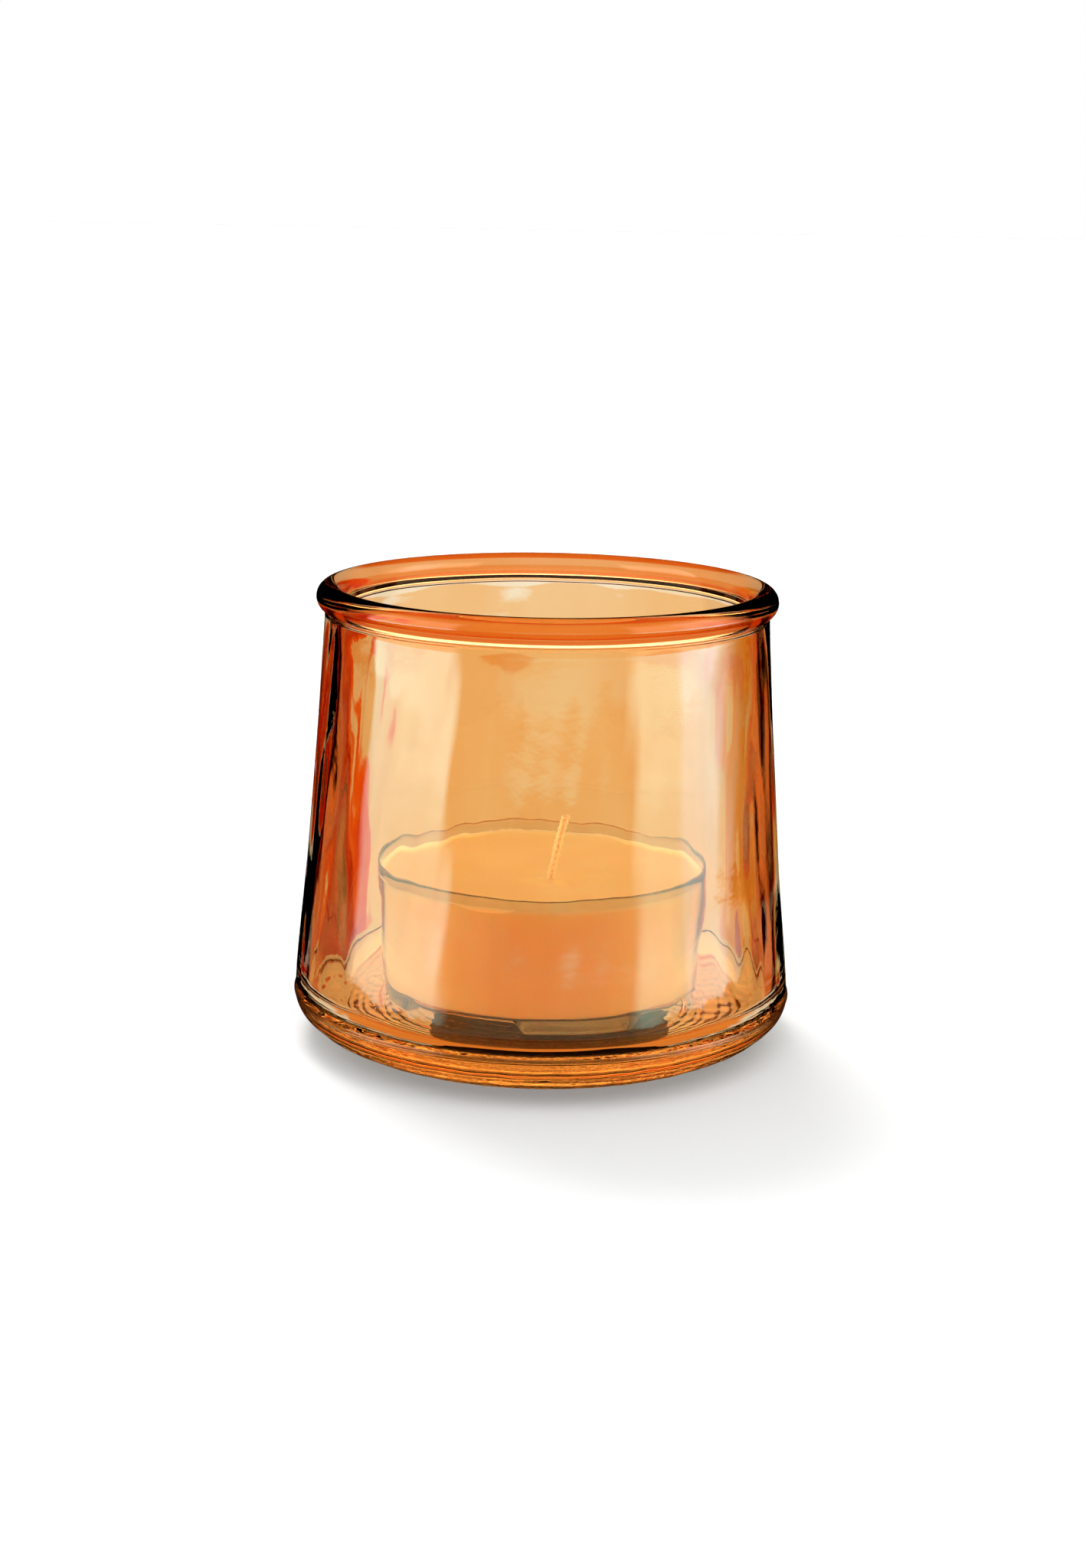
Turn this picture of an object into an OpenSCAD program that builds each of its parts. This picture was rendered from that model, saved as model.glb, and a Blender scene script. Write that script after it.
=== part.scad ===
// Pressed glass tealight holder with a clear-cup tealight standing in it.
// Origin: centre of the underside. +Z is up. Millimetres.

/* [Glass jar] */
// Overall height of the glass, to the crown of the rim
jar_h = 55.5; // [45:0.5:75]
// Largest diameter, at the mould seam above the heel
jar_d = 60.3; // [55:0.1:80]
// Outside diameter at the top of the body, under the neck step
shoulder_d = 53; // [48:0.5:54]
// Inside diameter of the mouth
mouth_d = 48.4; // [44:0.2:49]
// Thickness of the wall low down in the jar
low_wall = 2.5; // [2:0.1:4.5]
// Height of the inside floor above the table
floor_h = 5.1; // [4:0.1:8]
// Width of the neck band between the step and the rolled rim
neck_band = 0.9; // [0.5:0.1:2]
// Diameter of the rolled rim's round section
rim_bead_d = 3.3; // [2.8:0.1:4]
// Depth of the hollow under the base
punt_depth = 0.9; // [0.3:0.1:1.5]

/* [Tealight] */
// Outside diameter of the plastic cup at its lip
cup_d = 39.2; // [37:0.1:42]
// Height of the plastic cup, feet included
cup_h = 16.7; // [12:0.1:20]
// Thickness of the cup's side and bottom
cup_wall = 0.5; // [0.4:0.05:1]
// Number of feet under the cup
cup_feet = 4; // [3:1:6]
// Height of the cup's feet
foot_h = 1.3; // [0.6:0.1:2]
// How far the wax lies below the cup's lip at the edge
wax_drop = 1.4; // [0.8:0.1:4]
// How much deeper the wax is dished at the middle
wax_dish = 0.8; // [0:0.1:1.5]

/* [Wick] */
// Diameter of the braided wick
wick_d = 1.1; // [0.8:0.1:2]
// Length of wick that stands out of the wax
wick_out = 8.5; // [4:0.5:15]
// Lean of the wick towards +X, in degrees
wick_lean = 14; // [0:1:25]
// Diameter of the metal sustainer's disc
tab_d = 13; // [10:0.5:16]
// Thickness of the sustainer's sheet
tab_t = 0.3; // [0.2:0.05:0.5]
// Height of the sustainer's crimped neck
tab_neck_h = 3.2; // [2:0.2:5]

/* [Hidden] */
$fn = 96;

// Glass: heel, seam and body
seam_z = 5.5;
seam_lip = 0.12;
seam_lip_h = 0.35;
heel_reach = 11;
flare = 0.2;
flare_h = 16;
heel_r = jar_d / 2 + 0.05;
foot_ring_out = heel_r - heel_reach;
foot_ring_in = foot_ring_out - 1.4;
step_w = 0.25;
bead_r = rim_bead_d / 2;
bead_z = jar_h - bead_r;
bead_mid = mouth_d / 2 + bead_r;
step_z = bead_z - bead_r * 0.75 - neck_band;
neck_r = shoulder_d / 2 - step_w;
wall_foot_r = jar_d / 2 - flare;
flare_top_z = seam_z + flare_h;
flare_top_r = wall_foot_r - (wall_foot_r - shoulder_d / 2) * flare_h / (step_z - seam_z);

// Glass: inside
corner_r = 2.8;
low_in_r = wall_foot_r - low_wall;
floor_r = low_in_r - corner_r;

// Cup, wax and wick
cup_r = cup_d / 2;
cup_base_r = cup_r - 0.3;
cup_base_z = floor_h + foot_h;
cup_top_z = floor_h + cup_h;
cup_in_z = cup_base_z + cup_wall;
cup_edge_r = 1.0;
foot_arc = 42;
foot_first = -76;
foot_band = 2.2;
wax_edge_z = cup_top_z - wax_drop;
wax_low_z = wax_edge_z - wax_dish;
wax_gap = 0.02;
wax_inset = cup_wall + wax_gap;
meniscus_w = 1.2;
mound_r = 2.6;
mound_h = 0.5;
wick_x = 0.7;
wick_y = -2.7;
neck_wall = 0.35;
wick_knee_r = wick_d / 2 + 0.08;
wick_upright = tab_neck_h - tab_t + 0.8;
wick_knee_z = cup_in_z + tab_t + wick_upright;
wick_in_slope = (wax_low_z - wick_knee_z) / cos(wick_lean);
wick_sloped = wick_in_slope + wick_out;
tab_x = wick_x - wick_in_slope * sin(wick_lean);

// Radius of the cup's outside at height z, above its rounded lower edge
function cup_out(z) =
    let (low = cup_base_z + cup_edge_r)
    cup_base_r + (cup_r - cup_base_r) * (z - low) / (cup_top_z - low);

// Points of an elliptical arc in the radius and height plane
function arc(r, z, reach, rise, from, to, steps) =
    [for (i = [0 : steps])
        let (a = from + (to - from) * i / steps)
        [r + reach * cos(a), z + rise * sin(a)]];

// Outline of half the glass without its rolled rim
function jar_outline() = concat(
    arc(0, 0, foot_ring_in, punt_depth, 90, 0, 8),
    arc(foot_ring_out, seam_z, heel_reach, seam_z, -90, 0, 16),
    [[heel_r + seam_lip, seam_z + seam_lip_h / 2],
     [jar_d / 2, seam_z + seam_lip_h],
     [flare_top_r, flare_top_z],
     [shoulder_d / 2, step_z],
     [neck_r, step_z + step_w],
     [neck_r, bead_z],
     [mouth_d / 2, bead_z]],
    arc(floor_r, floor_h + corner_r, corner_r, corner_r, 0, -90, 10),
    [[0, floor_h]]);

// One-piece pressed glass: thick base, tapering wall, neck step and rolled rim
module glass_jar() {
    color([0.86, 0.42, 0.1, 0.5])
    rotate_extrude()
    union() {
        polygon(jar_outline());
        translate([bead_mid, bead_z])
            circle(r = bead_r);
    }
}

// Outline of half the cup's skin, inset by a wall thickness for its inside
function cup_outline(inset, top) = concat(
    [[0, cup_base_z + inset]],
    arc(cup_base_r - cup_edge_r, cup_base_z + cup_edge_r,
        cup_edge_r - inset, cup_edge_r - inset, -90, 0, 6),
    [[cup_out(top) - inset, top], [0, top]]);

// One foot: a short curved rib under the rim of the cup's base
module cup_foot(turn) {
    foot_r = cup_base_r - 0.6;
    rotate([0, 0, turn - foot_arc / 2])
    translate([0, 0, floor_h])
    rotate_extrude(angle = foot_arc)
        translate([foot_r - foot_band, 0])
        square([foot_band, foot_h + cup_wall / 2]);
}

// Clear moulded cup with a thin wall and feet that lift it off the glass
module tealight_cup() {
    color([0.96, 0.86, 0.68, 0.35])
    union() {
        difference() {
            rotate_extrude()
                polygon(cup_outline(0, cup_top_z));
            rotate_extrude()
                polygon(cup_outline(cup_wall, cup_top_z + 1));
        }
        for (i = [0 : cup_feet - 1])
            cup_foot(foot_first + i * 360 / cup_feet);
    }
}

// The wick as a plain cord: upright in the sustainer's neck, a rounded bend, then its lean
module wick_cord() {
    translate([tab_x, wick_y, cup_in_z + tab_t])
    union() {
        cylinder(h = wick_upright, d = wick_d);
        translate([0, 0, wick_upright]) {
            sphere(r = wick_knee_r);
            rotate([0, wick_lean, 0])
                cylinder(h = wick_sloped, d = wick_d);
        }
    }
}

// Braided cotton wick
module wick() {
    color([0.93, 0.86, 0.7])
        wick_cord();
}

// Thin metal disc with a crimped neck that holds the wick upright
module wick_sustainer() {
    color([0.75, 0.75, 0.76])
    translate([tab_x, wick_y, cup_in_z])
    difference() {
        union() {
            cylinder(h = tab_t, d = tab_d);
            cylinder(h = tab_neck_h, r = wick_d / 2 + neck_wall);
        }
        translate([0, 0, tab_t])
            cylinder(h = tab_neck_h, d = wick_d);
    }
}

// Outline of half the wax: it fills the cup, creeps up its wall and is dished at the middle
function wax_outline() =
    let (edge_r = cup_out(wax_edge_z) - wax_inset, dish_r = edge_r - meniscus_w)
    concat(
        [[0, cup_in_z], [cup_base_r - cup_edge_r, cup_in_z]],
        arc(cup_base_r - cup_edge_r, cup_base_z + cup_edge_r,
            cup_edge_r - wax_inset, cup_edge_r - wax_inset, -90, 0, 6),
        [for (i = [0 : 6])
            let (s = i / 6)
            [edge_r - meniscus_w * s, wax_edge_z - wax_dish * 0.5 * (1 - pow(1 - s, 3))]],
        [for (i = [1 : 8])
            let (s = i / 8)
            [dish_r * (1 - s), wax_edge_z - wax_dish * (0.5 + 0.5 * sin(90 * s))]]);

// Paraffin wax with a small mound where the wick stands out of it
module wax() {
    color([0.97, 0.84, 0.62])
    difference() {
        union() {
            rotate_extrude()
                polygon(wax_outline());
            translate([wick_x, wick_y, wax_low_z - 0.2])
                cylinder(h = mound_h, r1 = mound_r, r2 = wick_d / 2 + 0.2);
        }
        wick_cord();
        translate([tab_x, wick_y, cup_in_z - 1])
            cylinder(h = tab_t + 1 + wax_gap, d = tab_d + 2 * wax_gap);
        translate([tab_x, wick_y, cup_in_z])
            cylinder(h = tab_neck_h + wax_gap, r = wick_d / 2 + neck_wall + wax_gap);
    }
}

glass_jar();
tealight_cup();
wax();
wick();
wick_sustainer();
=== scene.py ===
"""Looks of the pressed amber glass tealight holder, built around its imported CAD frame. All in metres."""

import math
import random

import bpy
import numpy as np
from mathutils import Matrix, Vector


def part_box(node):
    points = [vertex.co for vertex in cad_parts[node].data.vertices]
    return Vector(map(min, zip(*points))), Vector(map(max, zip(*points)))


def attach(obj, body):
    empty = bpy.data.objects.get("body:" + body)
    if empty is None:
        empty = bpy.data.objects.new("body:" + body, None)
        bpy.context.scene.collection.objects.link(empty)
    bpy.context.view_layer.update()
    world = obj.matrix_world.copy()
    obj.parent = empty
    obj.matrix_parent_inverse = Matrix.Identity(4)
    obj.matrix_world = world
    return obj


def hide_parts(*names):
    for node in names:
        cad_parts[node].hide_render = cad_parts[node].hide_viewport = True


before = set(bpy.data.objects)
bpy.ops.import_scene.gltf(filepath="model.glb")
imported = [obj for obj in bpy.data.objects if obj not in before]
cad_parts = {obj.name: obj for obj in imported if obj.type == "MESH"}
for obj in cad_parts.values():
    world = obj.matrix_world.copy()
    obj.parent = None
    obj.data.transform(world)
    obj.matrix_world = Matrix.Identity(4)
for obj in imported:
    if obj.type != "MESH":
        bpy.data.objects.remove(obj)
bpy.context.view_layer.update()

MM = 0.001

# Boxes of the CAD nodes, which the visible pieces fill
JAR_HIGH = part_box("glass_jar")[1]
CUP_LOW, CUP_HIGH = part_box("tealight_cup")
WAX_LOW, WAX_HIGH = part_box("wax")
WICK_LOW, WICK_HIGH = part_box("wick")
TAB_LOW, TAB_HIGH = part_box("wick_sustainer")

# Glass jar: foot, heel and seam
SEAM_Z = 5.5 * MM
SEAM_LIP = 0.12 * MM
HEEL_R = JAR_HIGH.x - SEAM_LIP
HEEL_REACH = 11.0 * MM
FOOT_OUT = HEEL_R - HEEL_REACH
FOOT_IN = FOOT_OUT - 1.4 * MM
PUNT = 0.9 * MM

# Glass jar: body, neck and rolled rim. At the seam the body flares by FLARE, and by a share BULGE more from
# BULGE_H above it.
BODY_R = HEEL_R - 0.05 * MM
FLARE = 0.2 * MM
FLARE_H = 16 * MM
BULGE = 0.25
BULGE_H = 3 * MM
SHOULDER_R = 26.5 * MM
NECK_R = 26.25 * MM
STEP_Z = 51.71 * MM
BEAD_R = 1.65 * MM
BEAD_Z = JAR_HIGH.z - BEAD_R
MOUTH_R = 24.2 * MM

# Glass jar: inside
LOW_WALL = 2.5 * MM
FLOOR_Z = CUP_LOW.z
LOW_IN_R = BODY_R - FLARE - LOW_WALL
CORNER_R = 2.8 * MM

# Unevenness of the pressed glass: slow waves, ribs and folds of the sides, rings and pebbles under the foot
WAVE = 0.04 * MM
RIB = 0.008 * MM
FOLD = 0.012 * MM
WAVY_INSET = 0.12 * MM
RING_PITCH = 1.5 * MM
RING_DEPTH = 0.08 * MM
RING_DRIFT = 2.5
RING_DRIFT_LENGTH = 3.1 * MM
PEBBLE_DEPTH = 0.03 * MM

# Tealight cup. The ramps at the ends of its feet are in radians.
CUP_R = CUP_HIGH.x
CUP_BASE_R = CUP_R - 0.3 * MM
CUP_WALL = 0.5 * MM
FOOT_H = 1.3 * MM
CUP_FEET = 4
FOOT_ARC = math.radians(42)
FOOT_FIRST = math.radians(-76)
FOOT_BAND = 2.6 * MM
FOOT_EASE = 0.6 * MM
FOOT_RAMP_IN = 0.03
FOOT_RAMP_OUT = 0.05
CUP_EDGE = 1.0 * MM
CUP_LIP_R = 0.2 * MM
CUP_SLACK = 0.1 * MM

# Wax and wick
WAX_GAP = 0.04 * MM
WAX_R = WAX_HIGH.x - WAX_GAP
WAX_EDGE_Z = WAX_HIGH.z
WAX_DISH = 0.8 * MM
MENISCUS = 1.2 * MM
MOUND_H = 0.5 * MM
MOUND_SPREAD = 1.1 * MM
TAIL_H = 0.25 * MM
TAIL_SPREAD = 1.2 * MM
TAIL_BACK = 2.2 * MM
WAX_UNEVEN = 0.04 * MM
WICK_R = 0.55 * MM
WICK_X = 0.7 * MM
WICK_Y = -2.7 * MM
KNEE_H = 4 * MM
KNEE_SHARE = 0.2
CORE_R = 0.22 * MM
STRAND_R = 0.2 * MM
STRANDS = 4
STRAND_TURNS = 6.5
STRAND_WEAVE = 0.16

# The rolled rim is a little deeper in colour than the body, from this share of the height up
RIM_FROM = 0.94
RIM_FADE = 0.015
RIM_TINT = (0.95, 0.5, 0.24)

# Studio colours. OPEN keeps all of the light and DARK none of it.
WHITE = (1.0, 1.0, 1.0)
OPEN = (1.0, 1.0, 1.0)
DARK = (0.0, 0.0, 0.0)
BOX_LEFT = (4.0, 8.1, 8.4)
BOX_RIGHT = (4.5, 9.9, 12.0)
BOX_EDGE = (3.5, 7.5, 6.8)
WARM = (1.0, 0.33, 0.24)
FRONT_HAZE = (0.3, 2.5, 2.3)
SIDE_HAZE = (0.2, 1.3, 1.3)
GLOW_RED = (1.0, 0.58, 0.13)
EMBER = (1.0, 0.23, 0.01)
CLARET = (0.95, 0.13, 0.0)
RUBY = (0.6, 0.01, 0.0)
BRASS = (0.8, 0.17, 0.03)
COAL = (0.02, 0, 0)
DOWN_SKY = (0.8, 0.35, 0.1)
STEEP_SKY = (0.9, 0.45, 0.15)
LOW_SKY = (1.0, 1.4, 2.3)
LEVEL_SKY = (0.95, 0.97, 1.0)
RISE_SKY = (0.9, 0.6, 0.5)
HIGH_SKY = (4.0, 5.2, 7.5)

# Light that reaches a matt surface from all round, against 1 for the white behind the object
DIFFUSE_LEVEL = 0.375

# What a reflection sees: soft boxes on both sides and a weak haze from the camera's side. AROUND is by
# compass degrees from straight behind the object, left negative. UP is by height, from -1, straight down,
# to 1, straight up.
MIRROR_AROUND = [
    (-180, DARK), (-137, DARK), (-131, BOX_LEFT), (-85.5, BOX_LEFT), (-81.5, DARK),
    (62, DARK), (68, (0.4, 0.7, 0.4)), (74, (1.2, 2.5, 2.0)), (81, (2.6, 5.3, 5.2)),
    (88, BOX_RIGHT), (108, BOX_RIGHT), (112, BOX_EDGE), (133, BOX_EDGE), (141, DARK), (180, DARK)]
MIRROR_UP = [
    (-1, DARK), (-0.172, DARK), (-0.164, (0.45,) * 3), (-0.155, (0.5,) * 3), (-0.105, (0.7,) * 3),
    (-0.085, OPEN), (-0.05, OPEN), (-0.03, WARM), (0.5, WARM), (0.75, DARK), (1, DARK)]
HAZE_AROUND = [
    (-180, FRONT_HAZE), (-167, FRONT_HAZE), (-155, DARK), (135, DARK), (141, SIDE_HAZE),
    (155, SIDE_HAZE), (165, FRONT_HAZE), (180, FRONT_HAZE)]
HAZE_UP = [
    (-1, DARK), (-0.085, DARK), (-0.07, OPEN), (-0.05, OPEN),
    (-0.03, WARM), (0.1, WARM), (0.2, DARK), (1, DARK)]

# What is seen through the glass: a sky by height, and a row of dark and red flags on each side that reaches
# over FLAG_UP's heights. Each side's stops run outward, in degrees from straight behind the object.
FLAGS_OUTER = [
    (26, RUBY), (28, COAL), (37, COAL), (40, BRASS), (50, BRASS),
    (53, COAL), (72, COAL), (75, RUBY), (79, OPEN)]
FLAGS_LEFT = [(10.4, OPEN), (11.2, EMBER), (14, CLARET), (18, RUBY)] + FLAGS_OUTER
FLAGS_RIGHT = [(11.5, OPEN), (13, GLOW_RED), (19, GLOW_RED), (23, RUBY)] + FLAGS_OUTER
FLAG_AROUND = [(-turn, colour) for turn, colour in reversed(FLAGS_LEFT)] + FLAGS_RIGHT
FLAG_UP = [(-1, DARK), (-0.37, DARK), (-0.33, OPEN), (0.15, OPEN), (0.25, DARK), (1, DARK)]
THROUGH_UP = [
    (-1, DOWN_SKY), (-0.6, STEEP_SKY), (-0.52, LOW_SKY), (-0.172, LOW_SKY), (-0.166, LEVEL_SKY),
    (0.05, LEVEL_SKY), (0.12, RISE_SKY), (0.35, RISE_SKY), (0.45, HIGH_SKY), (0.8, HIGH_SKY), (1, WHITE)]

# Floor, a little below the foot so that the two never share a plane
FLOOR_REACH = 6.0
FLOOR_DROP = 0.02 * MM

# Painted shade under the tealight: a dark patch below the floor that stands in for its shadow
SHADE_X = 1 * MM
SHADE_Y = -10 * MM
SHADE_WIDE = 14 * MM
SHADE_LONG = 17 * MM
SHADE_BASE = -0.5 * MM
SHADE_TOP = -0.4 * MM
SHADE_SIDES = 64

# Camera: distance from the jar's axis, height and sideways shift, tilt and roll in degrees, and focal
# length in pixels of an image that is IMAGE_H high
CAMERA_BACK = 304.6 * MM
CAMERA_UP = 101.36 * MM
CAMERA_SIDE = -0.18 * MM
CAMERA_TILT = 13.03
CAMERA_ROLL = 1.0
IMAGE_H = 2048
FOCAL_PX = 3367.5
SENSOR_H = 24.0


# ---------- mesh helpers ----------

def arc(r, z, reach, rise, start, end, steps):
    """Points of an elliptical arc in the radius and height plane, angles in degrees."""
    turns = np.radians(np.linspace(start, end, steps + 1))
    return [(r + reach * math.cos(t), z + rise * math.sin(t)) for t in turns]


def line(a, b, steps):
    """Points from a towards b, without b itself."""
    return [(a[0] + (b[0] - a[0]) * i / steps, a[1] + (b[1] - a[1]) * i / steps) for i in range(steps)]


def outward(profile):
    """Unit normals of a profile that runs anticlockwise from the axis and back to it."""
    p = np.array(profile)
    d = np.gradient(p, axis=0)
    n = np.stack([d[:, 1], -d[:, 0]], 1)
    return n / np.maximum(np.linalg.norm(n, axis=1), 1e-12)[:, None]


def lathe(name, profile, turns, shape=None):
    """Closed mesh made by turning a profile whose first and last points lie on the axis.
    shape(angle, r, z, normals) returns the moved r and z of every point."""
    p = np.array(profile)
    angle = np.linspace(0, 2 * math.pi, turns, endpoint=False)[:, None]
    r = np.repeat(p[None, 1:-1, 0], turns, 0)
    z = np.repeat(p[None, 1:-1, 1], turns, 0)
    if shape:
        r, z = shape(np.repeat(angle, r.shape[1], 1), r, z, outward(profile)[1:-1])
    xyz = np.stack([r * np.cos(angle), r * np.sin(angle), z], 2).reshape(-1, 3)
    rows = r.shape[1]
    first, last = len(xyz), len(xyz) + 1
    ends = [[0, 0, z[:, 0].mean()], [0, 0, z[:, -1].mean()]]
    verts = np.concatenate([xyz, ends])
    faces = []
    for i in range(turns):
        a, b = i * rows, ((i + 1) % turns) * rows
        faces.append((first, b, a))
        faces += [(a + k, b + k, b + k + 1, a + k + 1) for k in range(rows - 1)]
        faces.append((a + rows - 1, b + rows - 1, last))
    return mesh_object(name, verts, faces)


def mesh_object(name, verts, faces):
    """A smooth-shaded mesh object."""
    mesh = bpy.data.meshes.new(name)
    mesh.from_pydata([tuple(v) for v in verts], [], faces)
    mesh.validate()
    mesh.polygons.foreach_set("use_smooth", [True] * len(mesh.polygons))
    mesh.update()
    obj = bpy.data.objects.new(name, mesh)
    bpy.context.scene.collection.objects.link(obj)
    return obj


def ripple(seed, count, around, along, size):
    """Smooth random waves over an angle and a length: a function with size as its root mean square."""
    rng = random.Random(seed)
    waves = [(rng.randint(*around), rng.uniform(*along) * 2 * math.pi / MM, rng.uniform(0, 6.28),
              rng.uniform(0.5, 1.0)) for _ in range(count)]
    total = math.sqrt(sum(w[3] ** 2 for w in waves) / 2)

    def height(angle, z):
        out = np.zeros_like(angle)
        for m, k, phase, weight in waves:
            out += weight * np.sin(m * angle + k * z + phase)
        return size * out / total
    return height


def bump_step(x, low, high):
    """Smooth 0 to 1 between low and high."""
    t = np.clip((x - low) / (high - low), 0, 1)
    return t * t * (3 - 2 * t)


# ---------- material helpers ----------

def new_material(name):
    """A new material with its node tree and its shader."""
    mat = bpy.data.materials.new(name)
    mat.use_nodes = True
    return mat, mat.node_tree, mat.node_tree.nodes["Principled BSDF"]


def add(tree, kind, **inputs):
    """A new node with these values in its sockets."""
    node = tree.nodes.new(kind)
    for key, value in inputs.items():
        node.inputs[key].default_value = value
    return node


def noise(tree, scale, detail=3.0, stretch=(1, 1, 1)):
    """Noise in the object's own coordinates, per metre."""
    where = add(tree, "ShaderNodeTexCoord")
    mapping = add(tree, "ShaderNodeMapping")
    mapping.inputs["Scale"].default_value = stretch
    tree.links.new(where.outputs["Object"], mapping.inputs["Vector"])
    node = add(tree, "ShaderNodeTexNoise", Scale=scale, Detail=detail)
    tree.links.new(mapping.outputs["Vector"], node.inputs["Vector"])
    return node


def ramp(tree, source, stops):
    """A colour ramp along source: stops of (place from 0 to 1, colour)."""
    node = add(tree, "ShaderNodeValToRGB")
    while len(node.color_ramp.elements) < len(stops):
        node.color_ramp.elements.new(0.5)
    for element, (place, colour) in zip(node.color_ramp.elements, stops):
        element.position = place
        element.color = (*colour, 1)
    tree.links.new(source, node.inputs["Fac"])
    return node


def bump(tree, shader, source, strength, distance):
    """Fine relief on a shader, from source as its height."""
    node = add(tree, "ShaderNodeBump", Strength=strength, Distance=distance)
    tree.links.new(source, node.inputs["Height"])
    tree.links.new(node.outputs["Normal"], shader.inputs["Normal"])


# ---------- materials ----------

def amber_glass():
    """Pressed amber glass: tinted at its faces and by its depth, faintly streaked, deeper at the rim."""
    mat, tree, glass = new_material("amber_glass")
    glass.inputs["Roughness"].default_value = 0.0
    glass.inputs["IOR"].default_value = 1.5
    glass.inputs["Transmission Weight"].default_value = 1.0
    glass.inputs["Specular Tint"].default_value = (1.0, 0.9, 0.78, 1)
    streaks = noise(tree, scale=90, detail=4, stretch=(1, 1, 0.35))
    body = ramp(tree, streaks.outputs["Fac"], [(0.35, (0.935, 0.53, 0.21)), (0.65, (0.95, 0.6, 0.28))])
    where = add(tree, "ShaderNodeTexCoord")
    split = add(tree, "ShaderNodeSeparateXYZ")
    tree.links.new(where.outputs["Object"], split.inputs["Vector"])
    rise = math_node(tree, "MULTIPLY", split.outputs["Z"], 1 / JAR_HIGH.z)
    rim = ramp(tree, rise, [(0, WHITE), (RIM_FROM, WHITE), (RIM_FROM + RIM_FADE, RIM_TINT), (1, RIM_TINT)])
    tint = blend_colour(tree, "MULTIPLY", 1.0, body.outputs["Color"], rim.outputs["Color"])
    tree.links.new(tint, glass.inputs["Base Color"])
    ripples = noise(tree, scale=260, detail=3)
    bump(tree, glass, ripples.outputs["Fac"], strength=0.25, distance=0.06 * MM)
    depth = add(tree, "ShaderNodeVolumeAbsorption", Density=70.0)
    depth.inputs["Color"].default_value = (0.97, 0.76, 0.4, 1)
    tree.links.new(depth.outputs["Volume"], tree.nodes["Material Output"].inputs["Volume"])
    return mat


def clear_plastic():
    """Thin clear moulded plastic with faint draw lines."""
    mat, tree, shell = new_material("clear_plastic")
    shell.inputs["Roughness"].default_value = 0.0
    shell.inputs["IOR"].default_value = 1.4
    shell.inputs["Transmission Weight"].default_value = 0.86
    lines = noise(tree, scale=420, detail=2, stretch=(1, 1, 0.04))
    tint = ramp(tree, lines.outputs["Fac"], [(0.3, (0.97, 0.96, 0.94)), (0.7, WHITE)])
    tree.links.new(tint.outputs["Color"], shell.inputs["Base Color"])
    bump(tree, shell, lines.outputs["Fac"], strength=0.3, distance=0.05 * MM)
    return mat


def paraffin():
    """Warm ivory wax, soft inside, with faint clouds and specks."""
    mat, tree, wax = new_material("paraffin")
    clouds = noise(tree, scale=160, detail=5)
    tint = ramp(tree, clouds.outputs["Fac"], [(0.3, (0.95, 0.78, 0.5)), (0.7, (0.98, 0.84, 0.6))])
    tree.links.new(tint.outputs["Color"], wax.inputs["Base Color"])
    wax.inputs["Roughness"].default_value = 0.32
    wax.inputs["IOR"].default_value = 1.43
    wax.inputs["Subsurface Weight"].default_value = 0.6
    wax.inputs["Subsurface Radius"].default_value = (1.0, 0.6, 0.35)
    wax.inputs["Subsurface Scale"].default_value = 4 * MM
    specks = noise(tree, scale=900, detail=4)
    bump(tree, wax, specks.outputs["Fac"], strength=0.12, distance=0.05 * MM)
    return mat


def cotton():
    """Wax-dipped cotton, cream, with fine fibres."""
    mat, tree, fibre = new_material("cotton")
    strands = noise(tree, scale=3500, detail=3, stretch=(1, 1, 0.25))
    tint = ramp(tree, strands.outputs["Fac"], [(0.3, (0.86, 0.76, 0.56)), (0.7, (0.98, 0.93, 0.8))])
    tree.links.new(tint.outputs["Color"], fibre.inputs["Base Color"])
    fibre.inputs["Roughness"].default_value = 0.6
    fibre.inputs["Sheen Weight"].default_value = 0.2
    bump(tree, fibre, strands.outputs["Fac"], strength=0.5, distance=0.04 * MM)
    return mat


def tinned_steel():
    """Thin bright tinned sheet with a faint roll grain."""
    mat, tree, metal = new_material("tinned_steel")
    grain = noise(tree, scale=1500, detail=3, stretch=(0.05, 1, 1))
    tint = ramp(tree, grain.outputs["Fac"], [(0.3, (0.62, 0.62, 0.64)), (0.7, (0.8, 0.8, 0.81))])
    tree.links.new(tint.outputs["Color"], metal.inputs["Base Color"])
    metal.inputs["Metallic"].default_value = 1.0
    metal.inputs["Roughness"].default_value = 0.3
    bump(tree, metal, grain.outputs["Fac"], strength=0.2, distance=0.02 * MM)
    return mat


# ---------- pieces ----------

def body_profile():
    """The body's outside from the seam up to the neck step: a cone that flares out at its foot."""
    low_z = SEAM_Z + 0.45 * MM
    start = (BODY_R - FLARE, low_z)
    end = (SHOULDER_R, STEP_Z - 0.15 * MM)
    close_rows = line(start, end, 900)[1:4]
    rows = line(start, end, 90)[1:]
    points = []
    for r, z in close_rows + rows:
        bulge = 1 + BULGE * bump_step(z, low_z, low_z + BULGE_H)
        fade = 1 - bump_step(z, low_z + 2 * MM, low_z + FLARE_H)
        points.append((r + FLARE * bulge * fade, z))
    return points


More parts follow.
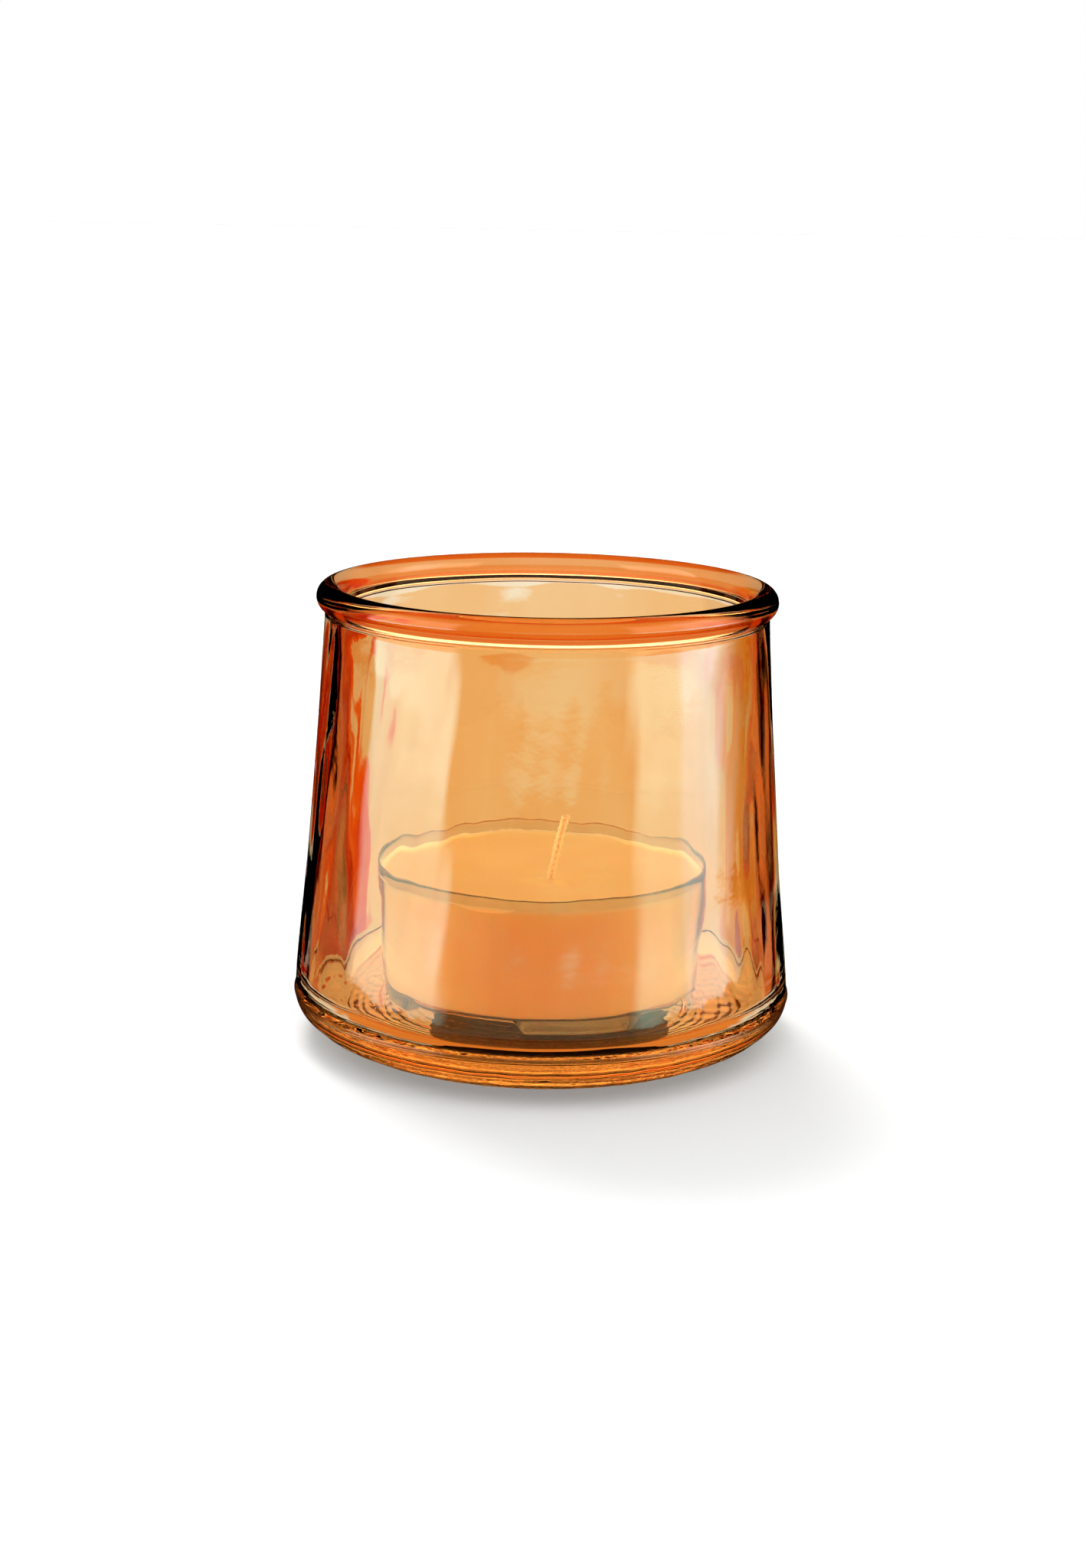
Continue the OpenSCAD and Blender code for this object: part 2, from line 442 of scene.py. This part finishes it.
def jar_profile():
    """Half section of the glass, from the punt's middle round to the inside floor's middle."""
    punt = arc(0, 0, FOOT_IN, PUNT, 90, 0, 110)
    ring = line((FOOT_IN, 0), (FOOT_OUT, 0), 8)[1:]
    heel = arc(FOOT_OUT, SEAM_Z, HEEL_REACH, SEAM_Z, -90, -1, 90)
    lip = arc(HEEL_R - 0.1 * MM, SEAM_Z + 0.15 * MM, SEAM_LIP + 0.1 * MM, 0.2 * MM, -45, 60, 6)
    body = body_profile()
    step = arc(SHOULDER_R - 0.12 * MM, STEP_Z, 0.12 * MM, 0.12 * MM, 0, 90, 4)
    meet = -math.degrees(math.acos((NECK_R - MOUTH_R - BEAD_R) / BEAD_R))
    neck = line((NECK_R, STEP_Z + 0.2 * MM), (NECK_R, BEAD_Z + BEAD_R * math.sin(math.radians(meet))), 3)
    bead = arc(MOUTH_R + BEAD_R, BEAD_Z, BEAD_R, BEAD_R, meet + 6, 180, 44)
    inside = line((MOUTH_R, BEAD_Z - 0.2 * MM), (LOW_IN_R, FLOOR_Z + CORNER_R), 90)
    corner = arc(LOW_IN_R - CORNER_R, FLOOR_Z + CORNER_R, CORNER_R, CORNER_R, 0, -90, 22)
    floor = line((LOW_IN_R - CORNER_R, FLOOR_Z), (0, FLOOR_Z), 24)[1:]
    return punt + ring + heel + lip + body + step + neck + bead + inside + corner + floor + [(0, FLOOR_Z)]


def jar_shape(angle, r, z, normals):
    """The glass's unevenness: waves on both faces of its wall, and rings and pebbles under the foot."""
    outer = ripple(seed=11, count=12, around=(2, 13), along=(-0.02, 0.02), size=WAVE)
    inner = ripple(seed=23, count=14, around=(3, 16), along=(-0.03, 0.03), size=WAVE)
    ribs = ripple(seed=37, count=30, around=(18, 60), along=(-0.06, 0.06), size=RIB)
    folds = ripple(seed=53, count=16, around=(14, 34), along=(-0.05, 0.05), size=FOLD)
    pebbles = ripple(seed=41, count=40, around=(8, 70), along=(-0.5, 0.5), size=0.4)
    inside = (normals[:, 0] < -0.2) & (z[0] > FLOOR_Z + 1 * MM) & (z[0] < BEAD_Z)
    outside = (normals[:, 0] > 0.2) & (z[0] > SEAM_Z) & (z[0] < STEP_Z)
    fade_in = bump_step(z, FLOOR_Z + 1 * MM, FLOOR_Z + 6 * MM) * (1 - bump_step(z, BEAD_Z - 5 * MM, BEAD_Z))
    fade_out = bump_step(z, SEAM_Z, SEAM_Z + 4 * MM) * (1 - bump_step(z, STEP_Z - 4 * MM, STEP_Z))
    fade_inset = bump_step(z, SEAM_Z, SEAM_Z + 20 * MM) * (1 - bump_step(z, STEP_Z - 14 * MM, STEP_Z))
    move = np.where(inside, (inner(angle, z) + folds(angle, z)) * fade_in, 0.0)
    waves = np.minimum((outer(angle, z) + ribs(angle, z)) * fade_out - WAVY_INSET * fade_inset, 0)
    move = np.where(outside, waves, move)
    below = (z[0] < SEAM_Z - 0.3 * MM) & (normals[:, 1] < -0.05)
    fade_low = 1 - bump_step(z, 2.5 * MM, SEAM_Z - 0.3 * MM)
    drift = RING_DRIFT * np.sin(r / RING_DRIFT_LENGTH)
    rings = 0.5 + 0.5 * np.sin(r * 2 * math.pi / RING_PITCH + drift)
    foot = RING_DEPTH * rings + PEBBLE_DEPTH * pebbles(angle, r)
    move = np.where(below, -fade_low * foot, move)
    return r + move * normals[:, 0], z + move * normals[:, 1]


def glass_jar(mat):
    """The one-piece jar: heel, body, neck step, rolled rim and thick base."""
    jar = lathe("jar_glass", jar_profile(), 600, jar_shape)
    jar.data.materials.append(mat)
    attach(jar, "jar")
    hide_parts("glass_jar")
    # So that the glass doesn't tint or dim the world's light on the candle and the floor
    jar.visible_diffuse = False


def foot_rise(angle):
    """1 over each of the cup's feet and 0 between them, with short ramps."""
    gap = 2 * math.pi / CUP_FEET
    off = np.abs((angle - FOOT_FIRST + gap / 2) % gap - gap / 2)
    return 1 - bump_step(off, FOOT_ARC / 2 - FOOT_RAMP_IN, FOOT_ARC / 2 + FOOT_RAMP_OUT)


def cup_profile():
    """Half section of the cup's thin skin, outside first."""
    base = FLOOR_Z + FOOT_H
    top = CUP_HIGH.z
    under = line((0, base), (CUP_BASE_R - CUP_EDGE, base), 30)
    edge = arc(CUP_BASE_R - CUP_EDGE, base + CUP_EDGE, CUP_EDGE, CUP_EDGE, -90, 0, 10)
    side = line(edge[-1], (CUP_R, top - CUP_LIP_R), 30)[1:]
    lip = arc(CUP_R - CUP_LIP_R, top - CUP_LIP_R, CUP_LIP_R, CUP_LIP_R, 0, 150, 6)
    inner_low = (CUP_BASE_R - CUP_WALL, base + CUP_EDGE)
    inside = line((CUP_R - CUP_WALL, top - 0.5 * MM), inner_low, 24)
    bend = arc(CUP_BASE_R - CUP_EDGE, base + CUP_EDGE, CUP_EDGE - CUP_WALL, CUP_EDGE - CUP_WALL, 0, -90, 6)
    floor = line(bend[-1], (0, base + CUP_WALL), 20)[1:]
    return under + edge + side + lip + inside + bend + floor + [(0, base + CUP_WALL)]


def cup_shape(angle, r, z, normals):
    """Feet under the base, a slightly uneven lip and a side that isn't quite round."""
    base = FLOOR_Z + FOOT_H
    under = (z < base + 0.45 * CUP_EDGE) & (normals[:, 1] < -0.1)
    band = bump_step(r, CUP_BASE_R - FOOT_BAND - FOOT_EASE, CUP_BASE_R - FOOT_BAND)
    z = z - np.where(under, FOOT_H * foot_rise(angle) * band, 0.0)
    high = bump_step(z, CUP_HIGH.z - 5 * MM, CUP_HIGH.z)
    lip = ripple(seed=5, count=6, around=(2, 11), along=(0, 0), size=0.05 * MM)
    out_of_round = ripple(seed=6, count=5, around=(2, 6), along=(0, 0), size=0.06 * MM)
    z = z + high * (lip(angle, z) - CUP_SLACK)
    return r + 0.6 * high * (out_of_round(angle, z) - CUP_SLACK), z


def tealight_cup(mat):
    """The tealight's cup, outside and inside as one skin."""
    cup = lathe("clear_cup", cup_profile(), 360, cup_shape)
    cup.data.materials.append(mat)
    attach(cup, "tealight")
    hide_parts("tealight_cup")
    cup.visible_diffuse = False


def wax_profile():
    """Half section of the wax: rounded foot, straight side, meniscus and dished top."""
    low = WAX_LOW.z + WAX_GAP
    edge = CUP_EDGE - CUP_WALL
    low_r = CUP_BASE_R - CUP_WALL - WAX_GAP
    under = line((0, low), (low_r - edge, low), 20)
    foot = arc(low_r - edge, low + edge, edge, edge, -90, 0, 6)
    side = line(foot[-1], (WAX_R, WAX_EDGE_Z), 20)[1:]
    climb = [(WAX_R - MENISCUS * s, WAX_EDGE_Z - WAX_DISH * 0.5 * (1 - (1 - s) ** 3))
             for s in np.linspace(0, 1, 12)]
    inner = WAX_R - MENISCUS
    dish = [(inner * (1 - s), WAX_EDGE_Z - WAX_DISH * (0.5 + 0.5 * math.sin(math.pi / 2 * s)))
            for s in np.linspace(0, 1, 60)][1:]
    return under + foot + side + climb + dish


def wax_shape(angle, r, z, normals):
    """A mound at the wick and slight unevenness of the set surface."""
    top = (normals[:, 1] > 0.3) & (z > WAX_EDGE_Z - 2 * MM)
    x, y = r * np.cos(angle), r * np.sin(angle)
    from_wick = (x - WICK_X) ** 2 + (y - WICK_Y) ** 2
    from_tail = (x - WICK_X + TAIL_BACK) ** 2 + (y - WICK_Y) ** 2
    mound = MOUND_H * np.exp(-from_wick / (2 * MOUND_SPREAD ** 2))
    tail = TAIL_H * np.exp(-from_tail / TAIL_SPREAD ** 2)
    swell = np.sin(x / (2.3 * MM) + 1) * np.sin(y / (1.9 * MM)) + np.sin((x + y) / (3.1 * MM))
    uneven = WAX_UNEVEN * swell * (1 - bump_step(r, WAX_R - 2 * MM, WAX_R))
    return r, z + np.where(top, mound + tail + uneven, 0.0)


def wax_fill(mat):
    """The wax, set in the cup."""
    wax = lathe("wax_fill", wax_profile(), 240, wax_shape)
    wax.data.materials.append(mat)
    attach(wax, "tealight")
    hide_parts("wax")
    return wax


def tube(path, radius, sides):
    """Vertices and faces of a round capped tube along a list of points."""
    verts, faces = [], []
    path = [Vector(p) for p in path]
    side = Vector((1, 0, 0))
    for i, here in enumerate(path):
        ahead = (path[min(i + 1, len(path) - 1)] - path[max(i - 1, 0)]).normalized()
        side = (side - ahead * side.dot(ahead)).normalized()
        other = ahead.cross(side)
        for k in range(sides):
            t = 2 * math.pi * k / sides
            verts.append(here + radius * (math.cos(t) * side + math.sin(t) * other))
    for i in range(len(path) - 1):
        for k in range(sides):
            a, b = i * sides + k, i * sides + (k + 1) % sides
            faces.append((a, b, b + sides, a + sides))
    faces.append(tuple(reversed(range(sides))))
    faces.append(tuple(range((len(path) - 1) * sides, len(path) * sides)))
    return verts, faces


def wick_line(t):
    """The wick's centreline: upright in the sustainer, leaning in the wax and out of it. t runs 0 to 1."""
    foot = Vector(((TAB_LOW.x + TAB_HIGH.x) / 2, (TAB_LOW.y + TAB_HIGH.y) / 2, WICK_LOW.z))
    tip = Vector((WICK_HIGH.x - 1.05 * WICK_R, WICK_Y, WICK_HIGH.z - 0.3 * MM))
    knee = Vector((foot.x, foot.y, foot.z + KNEE_H))
    if t < KNEE_SHARE:
        return foot.lerp(knee, t / KNEE_SHARE)
    return knee.lerp(tip, (t - KNEE_SHARE) / (1 - KNEE_SHARE))


def wick(mat):
    """A braided wick: strands wound both ways round a core, so that they cross over."""
    verts, faces = [], []
    steps = 150
    ways = [(turn, 2 * math.pi * k / STRANDS) for turn in (1, -1) for k in range(STRANDS)]
    for turn, start in ways:
        path = []
        for i in range(steps + 1):
            t = i / steps
            a = start + turn * t * 2 * math.pi * STRAND_TURNS
            over = 1 + STRAND_WEAVE * math.cos(a * STRANDS * turn)
            reach = (WICK_R - 1.2 * STRAND_R) * over
            path.append(wick_line(t) + Vector((math.cos(a) * reach, math.sin(a) * reach, 0)))
        v, f = tube(path, STRAND_R, 8)
        faces += [tuple(n + len(verts) for n in face) for face in f]
        verts += v
    v, f = tube([wick_line(i / 40) for i in range(41)], CORE_R, 8)
    faces += [tuple(n + len(verts) for n in face) for face in f]
    verts += v
    braid = mesh_object("braided_wick", verts, faces)
    braid.data.materials.append(mat)
    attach(braid, "tealight")
    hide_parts("wick")
    return braid


def sustainer(mat):
    """The CAD disc keeps its shape and takes the metal."""
    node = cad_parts["wick_sustainer"]
    node.data.materials.clear()
    node.data.materials.append(mat)


# ---------- stage ----------

def matt(name, colour, roughness):
    """A plain matt material without any shine."""
    mat, _, shader = new_material(name)
    shader.inputs["Base Color"].default_value = (*colour, 1)
    shader.inputs["Roughness"].default_value = roughness
    shader.inputs["Specular IOR Level"].default_value = 0.0
    return mat


def floor():
    """Plain pale floor, far wider than the view. Glass shows the studio in its place."""
    signs = [(-1, -1), (1, -1), (1, 1), (-1, 1)]
    corners = [(x * FLOOR_REACH, y * FLOOR_REACH, 0) for x, y in signs]
    paper = mesh_object("floor", corners, [(0, 1, 2, 3)])
    paper.location.z = -FLOOR_DROP
    paper.data.materials.append(matt("floor_paper", (0.3, 0.3, 0.3), 0.9))
    paper.visible_diffuse = False
    paper.visible_glossy = False
    paper.visible_transmission = False
    return paper


def rounded(share):
    """A sine or cosine pushed outward, which turns a circle into a round-cornered square."""
    return math.copysign(math.sqrt(abs(share)), share)


def contact_shade():
    """Painted shade: a dark patch right under the tealight that stands in for its shadow, and only shows
    through the glass.
    """
    turns = [2 * math.pi * k / SHADE_SIDES for k in range(SHADE_SIDES)]
    rim = [(SHADE_X + SHADE_WIDE * rounded(math.cos(t)), SHADE_Y + SHADE_LONG * rounded(math.sin(t)))
           for t in turns]
    corners = [(x, y, z) for z in (SHADE_BASE, SHADE_TOP) for x, y in rim]
    faces = [tuple(reversed(range(SHADE_SIDES))), tuple(range(SHADE_SIDES, 2 * SHADE_SIDES))]
    for k in range(SHADE_SIDES):
        ahead = (k + 1) % SHADE_SIDES
        faces.append((k, ahead, SHADE_SIDES + ahead, SHADE_SIDES + k))
    patch = mesh_object("contact_shade", corners, faces)
    # Near black and matt: painted shade in place of the tealight's shadow on the floor
    patch.data.materials.append(matt("contact_painted_shade", (0.02, 0.01, 0.008), 1.0))
    patch.visible_camera = False
    patch.visible_diffuse = False
    patch.visible_glossy = False
    patch.visible_shadow = False


def studio_world():
    """White to the camera. Reflections see boxes and haze, and glass shows the sky and its flags."""
    world = bpy.data.worlds.new("studio")
    bpy.context.scene.world = world
    world.use_nodes = True
    tree = world.node_tree
    tree.nodes.clear()
    out = add(tree, "ShaderNodeOutputWorld")
    where = add(tree, "ShaderNodeTexCoord")
    split = add(tree, "ShaderNodeSeparateXYZ")
    tree.links.new(where.outputs["Generated"], split.inputs["Vector"])
    turn = math_node(tree, "ARCTAN2", split.outputs["X"], split.outputs["Y"])
    up = split.outputs["Z"]
    plain = glow(tree, (*WHITE, 1), 1.0)
    dim = glow(tree, (*WHITE, 1), DIFFUSE_LEVEL)
    boxes, box_level = by_compass(tree, turn, MIRROR_AROUND)
    boxes = blend_colour(tree, "MULTIPLY", 1.0, boxes, by_height(tree, up, MIRROR_UP)[0])
    haze, haze_level = by_compass(tree, turn, HAZE_AROUND)
    haze = blend_colour(tree, "MULTIPLY", 1.0, haze, by_height(tree, up, HAZE_UP)[0])
    mirror = blend_colour(tree, "ADD", haze_level / box_level, boxes, haze)
    mirror = glow(tree, mirror, box_level)
    sky, sky_level = by_height(tree, up, THROUGH_UP)
    flags = by_compass(tree, turn, FLAG_AROUND)[0]
    flagged = blend_colour(tree, "MULTIPLY", by_height(tree, up, FLAG_UP)[0], sky, flags)
    through = glow(tree, flagged, sky_level)
    path = add(tree, "ShaderNodeLightPath")
    light = blend_shader(tree, path.outputs["Is Diffuse Ray"], plain, dim)
    light = blend_shader(tree, path.outputs["Is Glossy Ray"], light, mirror)
    light = blend_shader(tree, path.outputs["Is Transmission Ray"], light, through)
    tree.links.new(light, out.inputs["Surface"])


def feed(tree, socket, value):
    """Puts a number, a colour or a link into a socket."""
    if isinstance(value, bpy.types.NodeSocket):
        tree.links.new(value, socket)
    else:
        socket.default_value = value


def math_node(tree, operation, first, second):
    """The output of a new math node."""
    node = add(tree, "ShaderNodeMath")
    node.operation = operation
    feed(tree, node.inputs[0], first)
    feed(tree, node.inputs[1], second)
    return node.outputs["Value"]


def glow(tree, colour, strength):
    """Light of one colour and strength from all of the world."""
    node = add(tree, "ShaderNodeBackground")
    feed(tree, node.inputs["Color"], colour)
    feed(tree, node.inputs["Strength"], strength)
    return node.outputs["Background"]


def blend_shader(tree, share, first, second):
    """first where share is 0 and second where it is 1."""
    node = add(tree, "ShaderNodeMixShader")
    feed(tree, node.inputs[0], share)
    feed(tree, node.inputs[1], first)
    feed(tree, node.inputs[2], second)
    return node.outputs["Shader"]


def blend_colour(tree, way, share, first, second):
    """Mixes the second colour into the first one in the given way."""
    node = add(tree, "ShaderNodeMix")
    node.data_type = "RGBA"
    node.blend_type = way
    feed(tree, node.inputs[0], share)
    feed(tree, node.inputs[6], first)
    feed(tree, node.inputs[7], second)
    return node.outputs[2]


def by_compass(tree, turn, stops):
    """Colour by direction round the object: stops of (degrees from straight behind, colour)."""
    places = [(degrees / 360 + 0.5, colour) for degrees, colour in stops]
    return level_ramp(tree, turn, 0.5 / math.pi, places)


def by_height(tree, up, stops):
    """Colour by direction up and down: stops of (height from -1 to 1, colour)."""
    return level_ramp(tree, up, 0.5, [(place / 2 + 0.5, colour) for place, colour in stops])


def level_ramp(tree, source, scale, stops):
    """A ramp along scale * source + 0.5, its brightest channel brought to 1, and that brightest level."""
    share = math_node(tree, "MULTIPLY_ADD", source, scale)
    share.node.inputs[2].default_value = 0.5
    most = max(max(colour) for place, colour in stops)
    steps = [(place, tuple(channel / most for channel in colour)) for place, colour in stops]
    return ramp(tree, share, steps).outputs["Color"], most


def lamp(name, kind, energy, colour, place, aim, size):
    """A soft lamp at a place, aimed at a point. Size is metres, or degrees for a sun."""
    data = bpy.data.lights.new(name, kind)
    data.energy = energy
    data.color = colour
    # Off, because a wide sun would otherwise leak through the glass into its shadow
    data.cycles.use_multiple_importance_sampling = False
    if kind == "SUN":
        data.angle = math.radians(size)
    else:
        data.size = size
    obj = bpy.data.objects.new(name, data)
    obj.location = place
    obj.rotation_euler = (Vector(aim) - Vector(place)).to_track_quat("-Z", "Y").to_euler()
    obj.visible_transmission = False
    obj.visible_glossy = False
    bpy.context.scene.collection.objects.link(obj)
    return obj


def only_for(lamps, pieces, shaded_by_all):
    """These lamps light these pieces only, and either everything or only these pieces shade them."""
    group = bpy.data.collections.new(lamps[0].name + "_group")
    for piece in pieces:
        group.objects.link(piece)
    for obj in lamps:
        obj.light_linking.receiver_collection = group
        if not shaded_by_all:
            obj.light_linking.blocker_collection = group


def floor_lights(paper):
    """For the floor alone: a sun from behind on the left, a wide one overhead and one without shade."""
    key = lamp("key", "SUN", 4.1, WHITE, (-0.29, 0.64, 1.0), (0, 0, 0), 22)
    overhead = lamp("overhead", "SUN", 6.9, WHITE, (0, 0, 1), (0, 0, 0), 120)
    even = lamp("even", "SUN", 1.85, WHITE, (0, 0, 1), (0, 0, 0), 5)
    only_for([key, overhead], [paper], True)
    only_for([even], [paper], False)


def candle_lights(pieces):
    """Soft boxes for the candle alone, which the amber glass would leave too dim."""
    top = (0, 0, 0.02)
    middle = (0, 0, 0.012)
    above = lamp("candle_above", "AREA", 2.3, (1, 0.9, 0.85), (0, -0.1, 0.45), top, 1.4)
    left = lamp("candle_left", "AREA", 2.8, (0.95, 1, 0.95), (-0.38, 0.12, 0.05), middle, 0.3)
    right = lamp("candle_right", "AREA", 2.4, (1, 1, 0.75), (0.38, 0.12, 0.05), middle, 0.3)
    front = lamp("candle_front", "AREA", 1.6, (1, 0.35, 0.12), (0, -0.4, 0.0), middle, 0.4)
    only_for([above, left, right, front], pieces, False)


def camera():
    """The camera, looking down a little at the jar's front."""
    data = bpy.data.cameras.new("camera")
    data.sensor_fit = "VERTICAL"
    data.sensor_height = SENSOR_H
    data.lens = FOCAL_PX / IMAGE_H * SENSOR_H
    data.clip_start = 0.01
    obj = bpy.data.objects.new("camera", data)
    bpy.context.scene.collection.objects.link(obj)
    tilt, roll = math.radians(CAMERA_TILT), math.radians(CAMERA_ROLL)
    ahead = Vector((0, math.cos(tilt), -math.sin(tilt)))
    right = Vector((1, 0, 0))
    up = right.cross(ahead)
    side = right * math.cos(roll) + up * math.sin(roll)
    top = up * math.cos(roll) - right * math.sin(roll)
    turned = Matrix((side, top, -ahead)).transposed().to_4x4()
    obj.matrix_world = Matrix.Translation((CAMERA_SIDE, -CAMERA_BACK, CAMERA_UP)) @ turned
    bpy.context.scene.camera = obj


def main():
    """Everything in order: camera, studio, the jar, and the tealight with lamps of its own."""
    camera()
    studio_world()
    floor_lights(floor())
    contact_shade()
    glass_jar(amber_glass())
    tealight_cup(clear_plastic())
    candle = [wax_fill(paraffin()), wick(cotton())]
    candle_lights(candle)
    sustainer(tinned_steel())
    bpy.context.scene.view_settings.view_transform = "Standard"


main()
